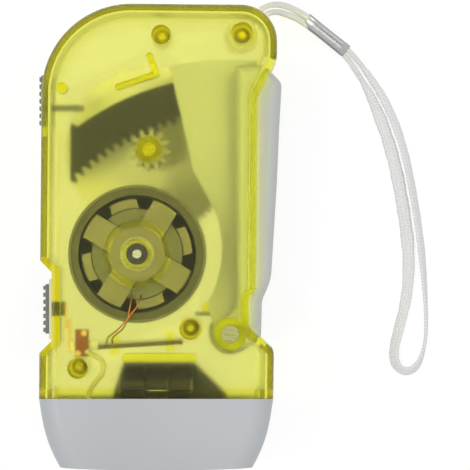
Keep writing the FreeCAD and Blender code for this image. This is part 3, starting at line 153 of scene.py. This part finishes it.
def make_lamp(name, power, place):
    """Round lamp that shines at the torch from the given place."""
    data = bpy.data.lights.new(name, "AREA")
    data.shape = "DISK"
    data.size = LAMP_SIZE
    data.energy = power
    lamp = bpy.data.objects.new(name, data)
    lamp.location = place
    lamp.rotation_euler = (Vector(LAMP_TARGET) - Vector(place)).to_track_quat("-Z", "Y").to_euler()
    bpy.context.scene.collection.objects.link(lamp)


class Tree:
    """A material's node tree with short calls for the nodes used here."""

    def __init__(self, name):
        self.material = bpy.data.materials.new(name)
        self.material.use_nodes = True
        self.tree = self.material.node_tree
        self.tree.nodes.clear()
        self.out = self.tree.nodes.new("ShaderNodeOutputMaterial")

    def add(self, kind, settings=None, **inputs):
        made = self.tree.nodes.new(kind)
        for key, value in (settings or {}).items():
            setattr(made, key, value)
        for key, value in inputs.items():
            self.put(made.inputs[key.replace("_", " ")], value)
        return made

    def put(self, socket, value):
        if isinstance(value, bpy.types.NodeSocket):
            self.tree.links.new(value, socket)
        elif isinstance(value, tuple) and len(value) == 3 and socket.type == "RGBA":
            socket.default_value = (*value, 1)
        else:
            socket.default_value = value

    def math(self, operation, a, b=0.0):
        made = self.tree.nodes.new("ShaderNodeMath")
        made.operation = operation
        self.put(made.inputs[0], a)
        self.put(made.inputs[1], b)
        return made.outputs[0]

    def coords(self):
        return self.add("ShaderNodeTexCoord").outputs["Object"]

    def noise(self, scale, detail=2.0, vector=None):
        made = self.add("ShaderNodeTexNoise", Scale=scale, Detail=detail)
        self.put(made.inputs["Vector"], vector if vector is not None else self.coords())
        return made.outputs["Fac"]

    def ramp(self, fac, low, high, out_low, out_high):
        made = self.add("ShaderNodeMapRange")
        self.put(made.inputs["Value"], fac)
        for key, value in zip(("From Min", "From Max", "To Min", "To Max"), (low, high, out_low, out_high)):
            made.inputs[key].default_value = value
        return made.outputs["Result"]

    def mix(self, fac, a, b):
        made = self.add("ShaderNodeMix", {"data_type": "RGBA"})
        self.put(made.inputs["Factor"], fac)
        self.put(made.inputs[6], a)
        self.put(made.inputs[7], b)
        return made.outputs[2]

    def bump(self, height, strength, distance):
        made = self.add("ShaderNodeBump", Strength=strength, Distance=distance)
        self.put(made.inputs["Height"], height)
        return made.outputs["Normal"]

    def finish(self, shader):
        self.tree.links.new(shader.outputs[0], self.out.inputs["Surface"])
        return self.material


def make_floor():
    """White table: it lights the torch as plain paper does, and glows white where it is seen or mirrored."""
    mesh = bpy.data.meshes.new("floor")
    r = FLOOR_HALF
    mesh.from_pydata([(-r, -r, 0), (r, -r, 0), (r, r, 0), (-r, r, 0)], [], [(0, 1, 2, 3)])
    obj = add_object("floor", mesh, None)
    t = Tree("floor_white")
    plain = t.add("ShaderNodeBsdfDiffuse", Color=(0.80, 0.80, 0.80))
    paper = t.add("ShaderNodeBsdfDiffuse", Color=(0.22, 0.22, 0.225))
    glow = t.add("ShaderNodeEmission", Color=(1.0, 1.0, 1.0), Strength=FLOOR_GLOW)
    both = t.add("ShaderNodeAddShader")
    t.tree.links.new(paper.outputs[0], both.inputs[0])
    t.tree.links.new(glow.outputs[0], both.inputs[1])
    path = t.add("ShaderNodeLightPath")
    seen = t.math("MAXIMUM", path.outputs["Is Camera Ray"], path.outputs["Is Glossy Ray"])
    seen = t.math("MAXIMUM", seen, path.outputs["Is Transmission Ray"])
    mix = t.add("ShaderNodeMixShader")
    t.put(mix.inputs[0], seen)
    t.tree.links.new(plain.outputs[0], mix.inputs[1])
    t.tree.links.new(both.outputs[0], mix.inputs[2])
    mesh.materials.append(t.finish(mix))


def make_world():
    """Soft white surroundings: a plain level of light, and white where they are seen or mirrored."""
    world = bpy.data.worlds.new("studio")
    bpy.context.scene.world = world
    world.use_nodes = True
    tree = world.node_tree
    background = tree.nodes["Background"]
    background.inputs["Color"].default_value = (1, 1, 1, 1)
    background.inputs["Strength"].default_value = AMBIENT
    white = tree.nodes.new("ShaderNodeBackground")
    white.inputs["Color"].default_value = (1, 1, 1, 1)
    white.inputs["Strength"].default_value = 1.0
    path = tree.nodes.new("ShaderNodeLightPath")
    seen = path.outputs["Is Camera Ray"]
    for kind in ("Is Glossy Ray", "Is Transmission Ray"):
        most = tree.nodes.new("ShaderNodeMath")
        most.operation = "MAXIMUM"
        tree.links.new(seen, most.inputs[0])
        tree.links.new(path.outputs[kind], most.inputs[1])
        seen = most.outputs[0]
    mix = tree.nodes.new("ShaderNodeMixShader")
    tree.links.new(seen, mix.inputs[0])
    tree.links.new(background.outputs[0], mix.inputs[1])
    tree.links.new(white.outputs[0], mix.inputs[2])
    tree.links.new(mix.outputs[0], tree.nodes["World Output"].inputs["Surface"])


# Materials
def clear_plastic(name, tint, density, roughness, filter_tint, surface=(1.0, 1.0, 1.0), bend=1.45):
    """Clear moulded plastic that darkens with the length of its walls and lets the lamps through."""
    t = Tree(name)
    wave = t.noise(55.0, 2.0)
    glass = t.add("ShaderNodeBsdfPrincipled", Base_Color=surface, Roughness=roughness, IOR=bend,
                  Transmission_Weight=1.0, Specular_IOR_Level=0.3)
    t.put(glass.inputs["Normal"], t.bump(wave, 0.05, 0.0004))
    through = t.add("ShaderNodeBsdfTransparent", Color=filter_tint)
    path = t.add("ShaderNodeLightPath")
    mix = t.add("ShaderNodeMixShader")
    t.put(mix.inputs[0], path.outputs["Is Shadow Ray"])
    t.tree.links.new(glass.outputs[0], mix.inputs[1])
    t.tree.links.new(through.outputs[0], mix.inputs[2])
    if density:
        depth = t.add("ShaderNodeVolumeAbsorption", Color=tint, Density=density)
        t.tree.links.new(depth.outputs[0], t.out.inputs["Volume"])
    return t.finish(mix)


def moulded(name, colour, roughness=0.42, grain=0.06, wear=0.04):
    """Satin moulded plastic with a fine spark grain and a slow drift of colour."""
    t = Tree(name)
    drift = t.noise(28.0, 3.0)
    shade = t.mix(t.ramp(drift, 0.3, 0.7, 0.0, 1.0), tuple(c * (1 - wear) for c in colour),
                  tuple(min(1.0, c * (1 + wear)) for c in colour))
    fine = t.noise(2600.0, 2.0)
    shader = t.add("ShaderNodeBsdfPrincipled", Base_Color=shade, IOR=1.5)
    uneven = t.ramp(t.noise(160.0, 3.0), 0.3, 0.7, roughness - 0.05, roughness + 0.07)
    t.put(shader.inputs["Roughness"], uneven)
    t.put(shader.inputs["Normal"], t.bump(fine, grain, 0.00012))
    return t.finish(shader)


def metal(name, colour, roughness=0.28, scratch=0.08, metallic=1.0):
    """Plain metal with fine rubbed streaks and slow stains."""
    t = Tree(name)
    stretched = t.add("ShaderNodeMapping", Scale=(60.0, 900.0, 400.0))
    t.put(stretched.inputs["Vector"], t.coords())
    lines = t.noise(4.0, 4.0, stretched.outputs["Vector"])
    stain = t.noise(120.0, 3.0)
    shade = t.mix(t.ramp(stain, 0.35, 0.7, 0.0, 1.0), tuple(c * 0.9 for c in colour), colour)
    shader = t.add("ShaderNodeBsdfPrincipled", Base_Color=shade, Metallic=metallic)
    t.put(shader.inputs["Roughness"], t.ramp(lines, 0.3, 0.7, roughness - 0.06, roughness + 0.1))
    t.put(shader.inputs["Normal"], t.bump(lines, scratch, 0.00006))
    return t.finish(shader)


def braid(name):
    """White braided tape: two mirrored rows of slanted yarns, each yarn with its own soft groove, with
    painted shade in the grooves.
    """
    t = Tree(name)
    lay = t.add("ShaderNodeAttribute", {"attribute_name": "lay"}).outputs["Vector"]
    parts = t.add("ShaderNodeSeparateXYZ")
    t.put(parts.inputs[0], lay)
    across = t.math("ABSOLUTE", parts.outputs["X"])
    along = parts.outputs["Y"]
    slant = t.math("ADD", along, t.math("MULTIPLY", across, YARN_SLOPE))
    wave = t.math("SINE", t.math("MULTIPLY", slant, 2 * math.pi / YARN_PITCH))
    cross = t.math("SINE", t.math("MULTIPLY", across, 2 * math.pi / YARN_CROSS_PITCH))
    yarn = t.math("ADD", t.math("MULTIPLY", wave, 0.36), t.math("MULTIPLY", cross, 0.14))
    height = t.math("ADD", yarn, 0.5)
    fuzz = t.noise(5200.0, 2.0)
    rough = t.math("ADD", height, t.math("MULTIPLY", fuzz, 0.35))
    # Painted shade: the colour turns grey in the grooves between the yarns, following the yarn height.
    shade = t.mix(t.ramp(height, 0.1, 0.62, 0.0, 1.0), (0.80, 0.80, 0.81), (0.98, 0.98, 0.975))
    shader = t.add("ShaderNodeBsdfPrincipled", Base_Color=shade, Roughness=0.82, Sheen_Weight=0.25,
                   Sheen_Roughness=0.5)
    t.put(shader.inputs["Normal"], t.bump(rough, 0.7, 0.00022))
    return t.finish(shader)


def windings(name, colour, pitch):
    """Enamelled wire lying in even turns round the Z axis, with painted shade between the turns."""
    t = Tree(name)
    parts = t.add("ShaderNodeSeparateXYZ")
    t.put(parts.inputs[0], t.coords())
    turns = t.math("SINE", t.math("MULTIPLY", parts.outputs["Z"], 2 * math.pi / pitch))
    # Painted shade: the wire's colour darkens to under half in the groove between turns.
    shade = t.mix(t.ramp(turns, -1.0, 0.4, 0.0, 1.0), tuple(c * 0.45 for c in colour), colour)
    shader = t.add("ShaderNodeBsdfPrincipled", Base_Color=shade, Metallic=0.8, Roughness=0.3,
                   Coat_Weight=0.5)
    t.put(shader.inputs["Normal"], t.bump(turns, 0.6, pitch * 0.3))
    return t.finish(shader)


def solder_mask(name):
    """Brown circuit board with the faint steps of its tracks."""
    t = Tree(name)
    tracks = t.add("ShaderNodeTexVoronoi", {"distance": "MANHATTAN"}, Scale=420.0)
    t.put(tracks.inputs["Vector"], t.coords())
    edge = t.ramp(tracks.outputs["Distance"], 0.2, 0.3, 0.0, 1.0)
    shade = t.mix(edge, (0.20, 0.15, 0.06), (0.12, 0.09, 0.035))
    shader = t.add("ShaderNodeBsdfPrincipled", Base_Color=shade, Roughness=0.35)
    t.put(shader.inputs["Normal"], t.bump(tracks.outputs["Distance"], 0.2, 0.00005))
    return t.finish(shader)


def part_halves():
    """The rear half, with its joint faces drawn back by a hair, so that light crosses from half to half."""
    source = nodes["rear_shell"]
    mesh = source.data.copy()
    mesh.name = "rear_half"
    for vertex in mesh.vertices:
        place = source.matrix_world @ vertex.co
        if min(abs(place.z - level) for level in JOINT_LEVELS) < JOINT_TOUCH:
            place.z -= JOINT_GAP
        vertex.co = place
    half = add_object("rear_half", mesh)
    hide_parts("rear_shell")
    return half


def dress(obj, material):
    """Give an object one material in place of those it has."""
    obj.data.materials.clear()
    obj.data.materials.append(material)


def make_materials(rear_half):
    """Every material, and the CAD pieces that wear it."""
    yellow = clear_plastic("clear_yellow", tint=(0.993, 0.985, 0.05), density=400.0, roughness=0.2,
                           filter_tint=(0.995, 0.992, 0.92), surface=(0.855, 0.862, 0.84), bend=1.25)
    grey = moulded("grey_abs", (0.50, 0.52, 0.535), 0.40)
    lever_grey = moulded("lever_grey", (0.54, 0.565, 0.545), 0.42)
    dark_grey = moulded("slider_grey", (0.17, 0.175, 0.21), 0.45)
    plate_grey = moulded("plate_grey", (0.75, 0.73, 0.66), 0.40)
    black = moulded("black_nylon", (0.016, 0.016, 0.015), 0.38)
    ferrite = moulded("ferrite", (0.085, 0.082, 0.070), 0.5, grain=0.25)
    bobbin_black = moulded("bobbin_nylon", (0.15, 0.15, 0.13), 0.4)
    nylon = moulded("white_nylon", (0.97, 0.96, 0.89), 0.4)
    steel = metal("steel", (0.62, 0.61, 0.60), 0.26)
    zinc = metal("zinc_plate", (0.24, 0.225, 0.18), 0.36)
    # Screw heads: zinc plate whitened to near-white and barely metallic, painted light for the deep post
    # centres that little light reaches.
    screw_painted_light = metal("screw_zinc_painted_light", (0.95, 0.93, 0.86), 0.5, metallic=0.1)
    pin_steel = metal("pin_steel", (0.40, 0.39, 0.37), 0.3)
    # The pinion is white nylon like the drive gear; its colour is darkened as painted shade so that it
    # matches the shaded gear beneath it.
    pinion_nylon_painted_shade = moulded("pinion_nylon_painted_shade", (0.42, 0.41, 0.36), 0.4)
    brass = metal("brass", (0.74, 0.52, 0.22), 0.3)
    cell = moulded("cell_sleeve", (0.03, 0.03, 0.03), 0.3)
    bright = metal("metallised", (0.88, 0.88, 0.88), 0.1, 0.02)
    copper = windings("copper_wire", (0.72, 0.27, 0.10), WIRE_PITCH)
    strand = metal("copper_strand", (0.75, 0.26, 0.10), 0.35)
    board = solder_mask("solder_mask")
    fibre = moulded("red_fibre", (0.30, 0.075, 0.03), 0.5, grain=0.15)
    cream = moulded("cream_insulation", (0.80, 0.76, 0.52), 0.35)
    lens = clear_plastic("clear_lens", tint=(1.0, 1.0, 1.0), density=0.0, roughness=0.02,
                         filter_tint=(0.95, 0.95, 0.95))
    led = clear_plastic("led_epoxy", tint=(1.0, 1.0, 1.0), density=0.0, roughness=0.05,
                        filter_tint=(0.9, 0.9, 0.9))
    chosen = {
        yellow: ("front_shell",),
        grey: ("head_cap",),
        lever_grey: ("lever",),
        dark_grey: ("switch_button", "lock_slider"),
        plate_grey: ("switch_plate",),
        black: ("sector_gear", "stator_bush", "cell_holder"),
        ferrite: ("magnet_ring",),
        bobbin_black: ("bobbin", "flywheel"),
        screw_painted_light: ("shell_screws",),
        nylon: ("drive_gear", "contact_block"),
        pinion_nylon_painted_shade: ("drive_pinion",),
        steel: ("flywheel_shaft", "gear_axle"),
        pin_steel: ("sector_rivets", "pivot_pin", "return_spring", "stator_core"),
        zinc: ("stator_front", "stator_rear"),
        brass: ("switch_wiper", "switch_contact", "terminal_screws"),
        fibre: ("terminal_strip",),
        cream: ("lamp_wire",),
        cell: ("button_cell_1", "button_cell_2", "button_cell_3"),
        bright: ("reflector",),
        copper: ("coil_winding",),
        strand: ("coil_wires",),
        board: ("led_board", "lamp_board"),
        lens: ("lens",),
        led: ("led_1", "led_2", "led_3"),
    }
    for material, names in chosen.items():
        for name in names:
            dress(nodes[name], material)
    dress(rear_half, yellow)


# Strap
def nurbs_line(points_mm):
    """Points along a smooth line whose control points are the given ones."""
    data = bpy.data.curves.new("route", "CURVE")
    data.dimensions = "3D"
    data.resolution_u = 14
    spline = data.splines.new("NURBS")
    spline.points.add(len(points_mm) - 1)
    for point, place in zip(spline.points, points_mm):
        point.co = (place[0] * MM, place[1] * MM, place[2] * MM, 1)
    spline.order_u = 3
    spline.use_endpoint_u = True
    obj = bpy.data.objects.new("route", data)
    bpy.context.scene.collection.objects.link(obj)
    mesh = bpy.data.meshes.new_from_object(obj)
    line = np.array([v.co for v in mesh.vertices], float)
    bpy.data.objects.remove(obj)
    bpy.data.curves.remove(data)
    bpy.data.meshes.remove(mesh)
    return line


def resampled(line, step):
    """Points at even steps along a line, how far along it each lies, and its length."""
    lengths = np.r_[0, np.cumsum(np.linalg.norm(np.diff(line, axis=0), axis=1))]
    count = max(4, int(round(lengths[-1] / step)))
    at = np.linspace(0, lengths[-1], count + 1)
    return np.stack([np.interp(at, lengths, line[:, k]) for k in range(3)], axis=1), at, lengths[-1]


def tape_mesh(name, line, keys, floor_lift):
    """Flat braided tape swept along a line, with its width, thickness and lean given at shares of it."""
    points, at, total = resampled(line, TAPE_STEP)
    share = at / total
    table = np.array(keys)
    width = np.interp(share, table[:, 0], table[:, 1]) * MM
    thick = np.interp(share, table[:, 0], table[:, 2]) * MM
    lean = np.radians(np.interp(share, table[:, 0], table[:, 3]))
    width *= 1 + sum(depth * np.sin(at / MM * rate + start) for depth, rate, start in TAPE_RIPPLES)
    tangent = np.gradient(points, axis=0)
    tangent /= np.linalg.norm(tangent, axis=1)[:, None]
    side = np.cross(tangent, (0, 0, 1.0))
    side /= np.linalg.norm(side, axis=1)[:, None]
    rise = np.cross(side, tangent)
    if floor_lift:
        need = 0.5 * (thick * np.abs(np.cos(lean)) + width * np.abs(np.sin(lean))) + TAPE_FLOOR_GAP
        low = points[:, 2] < TAPE_LOW
        target = np.where(low, need, np.maximum(points[:, 2], need))
        kernel = np.ones(TAPE_SMOOTH) / TAPE_SMOOTH
        padded = np.pad(target, TAPE_SMOOTH // 2, mode="edge")
        points[:, 2] = np.maximum(np.convolve(padded, kernel, mode="valid"), need)
    mesh = bpy.data.meshes.new(name)
    verts, lay = [], []
    for i, point in enumerate(points):
        for k in range(TAPE_SIDES):
            angle = 2 * math.pi * k / TAPE_SIDES
            u = math.copysign(abs(math.cos(angle)) ** TAPE_POWER_WIDE, math.cos(angle))
            v = math.copysign(abs(math.sin(angle)) ** TAPE_POWER_THICK, math.sin(angle))
            wide = side[i] * math.cos(lean[i]) + rise[i] * math.sin(lean[i])
            up = rise[i] * math.cos(lean[i]) - side[i] * math.sin(lean[i])
            verts.append(point + wide * u * width[i] / 2 + up * v * thick[i] / 2)
            lay.append((u * TAPE_WIDTH / 2 / MM, at[i] / MM, v))
    faces = []
    rows = len(points)
    for i in range(rows - 1):
        for k in range(TAPE_SIDES):
            a = i * TAPE_SIDES + k
            b = i * TAPE_SIDES + (k + 1) % TAPE_SIDES
            faces.append((a, a + TAPE_SIDES, b + TAPE_SIDES, b))
    faces.append(tuple(range(TAPE_SIDES)))
    faces.append(tuple((rows - 1) * TAPE_SIDES + k for k in reversed(range(TAPE_SIDES))))
    mesh.from_pydata([tuple(v) for v in verts], [], faces)
    layer = mesh.attributes.new("lay", "FLOAT_VECTOR", "POINT")
    layer.data.foreach_set("vector", np.array(lay, np.float32).ravel())
    smooth_faces(mesh)
    mesh.validate()
    return mesh, points, total


def clip_mesh():
    """Sheet metal sleeve bent round the strands, with its open seam along the top."""
    a, b = Vector(CLIP_A) * MM, Vector(CLIP_B) * MM
    along = (b - a).normalized()
    middle = (a + b) / 2
    side = along.cross(Vector((0, 0, 1))).normalized()
    up = side.cross(along)
    if side.y < 0:
        side.negate()
    outline = []
    r = CLIP_HALF_H * CLIP_CORNER_SHARE
    for cx, cy, start in ((1, 1, 0), (-1, 1, 90), (-1, -1, 180), (1, -1, 270)):
        for k in range(CLIP_CORNER_STEPS + 1):
            angle = math.radians(start + 90 * k / CLIP_CORNER_STEPS)
            x = cx * (CLIP_HALF_W - r) + r * math.cos(angle)
            y = cy * (CLIP_HALF_H - r) + r * math.sin(angle)
            outline.append((x, y))
    seam = -CLIP_HALF_W + 2 * CLIP_HALF_W * CLIP_SEAM_SHARE
    top = [i for i, p in enumerate(outline) if p[1] > CLIP_HALF_H - 1e-6]
    ring = outline[top[-1]:] + outline[:top[0] + 1]
    ring = [(seam - CLIP_SEAM_W / 2, CLIP_HALF_H)] + ring + [(seam + CLIP_SEAM_W / 2, CLIP_HALF_H)]
    inner = []
    for i, p in enumerate(ring):
        q0, q1 = ring[max(i - 1, 0)], ring[min(i + 1, len(ring) - 1)]
        dx, dy = q1[0] - q0[0], q1[1] - q0[1]
        size = math.hypot(dx, dy) or 1.0
        inner.append((p[0] - dy / size * CLIP_WALL, p[1] + dx / size * CLIP_WALL))
    loop = ring + inner[::-1]
    verts = []
    for j in range(CLIP_SECTIONS):
        t = (j / (CLIP_SECTIONS - 1) - 0.5) * CLIP_LENGTH
        squeeze = 1.0 - CLIP_SQUEEZE * math.cos(math.pi * t / CLIP_LENGTH) ** 2
        for x, y in loop:
            verts.append(middle + along * (t * MM) + side * (x * squeeze * MM) + up * (y * squeeze * MM))
    count = len(loop)
    faces = []
    for j in range(CLIP_SECTIONS - 1):
        for k in range(count):
            p = j * count + k
            q = j * count + (k + 1) % count
            faces.append((p, q, q + count, p + count))
    half = len(ring)
    for j, flip in ((0, False), (CLIP_SECTIONS - 1, True)):
        for k in range(half - 1):
            first = j * count
            quad = (first + k, first + k + 1, first + count - 2 - k, first + count - 1 - k)
            faces.append(quad if flip else quad[::-1])
    mesh = bpy.data.meshes.new("strap_clip_sleeve")
    mesh.from_pydata([tuple(v) for v in verts], [], faces)
    made = bmesh.new()
    made.from_mesh(mesh)
    bmesh.ops.recalc_face_normals(made, faces=made.faces)
    made.to_mesh(mesh)
    made.free()
    smooth_faces(mesh)
    return mesh


def root_route():
    """Route of the strap's hidden end, round the screw post next to the hole."""
    post = np.array(ROOT_POST_MM)
    along = np.array(ROOT_ALONG) * ROOT_REACH_MM
    side = np.array(ROOT_SIDE) * ROOT_REACH_MM
    loop = ((1, 0.3), (1, -0.6), (0, -1.35), (-1, -0.6), (-1, 0.3))
    middle = [post + side * across + along * reach for across, reach in loop]
    return [np.array(STRAP_ROUTE_MM[0]), *middle, np.array(STRAP_ROUTE_MM[-1])]


def make_strap():
    """The braided tape, its crimped sleeve and its hidden end, in place of the CAD ones."""
    line = nurbs_line(STRAP_ROUTE_MM)
    mesh, path, length = tape_mesh("strap_tape", line, TAPE_KEYS, True)
    tape = add_object("strap_tape", mesh)
    white = braid("white_braid")
    mesh.materials.append(white)
    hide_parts("strap")
    clip = add_object("strap_clip_sleeve", clip_mesh())
    clip.data.materials.append(metal("clip_steel", (0.42, 0.42, 0.43), 0.20, 0.05))
    edge = clip.modifiers.new("edge", "BEVEL")
    edge.width = CLIP_EDGE
    edge.segments = 2
    edge.limit_method = "ANGLE"
    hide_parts("strap_clip")
    hidden, _, _ = tape_mesh("strap_root_tape", nurbs_line(root_route()), ROOT_KEYS, False)
    root = add_object("strap_root_tape", hidden)
    hidden.materials.append(white)
    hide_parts("strap_root")


bpy.context.scene.view_settings.view_transform = "Standard"
make_camera()
make_strap()
make_floor()
make_world()
for lamp_name, lamp_power, lamp_place in LAMPS:
    make_lamp(lamp_name, lamp_power, lamp_place)
make_materials(part_halves())
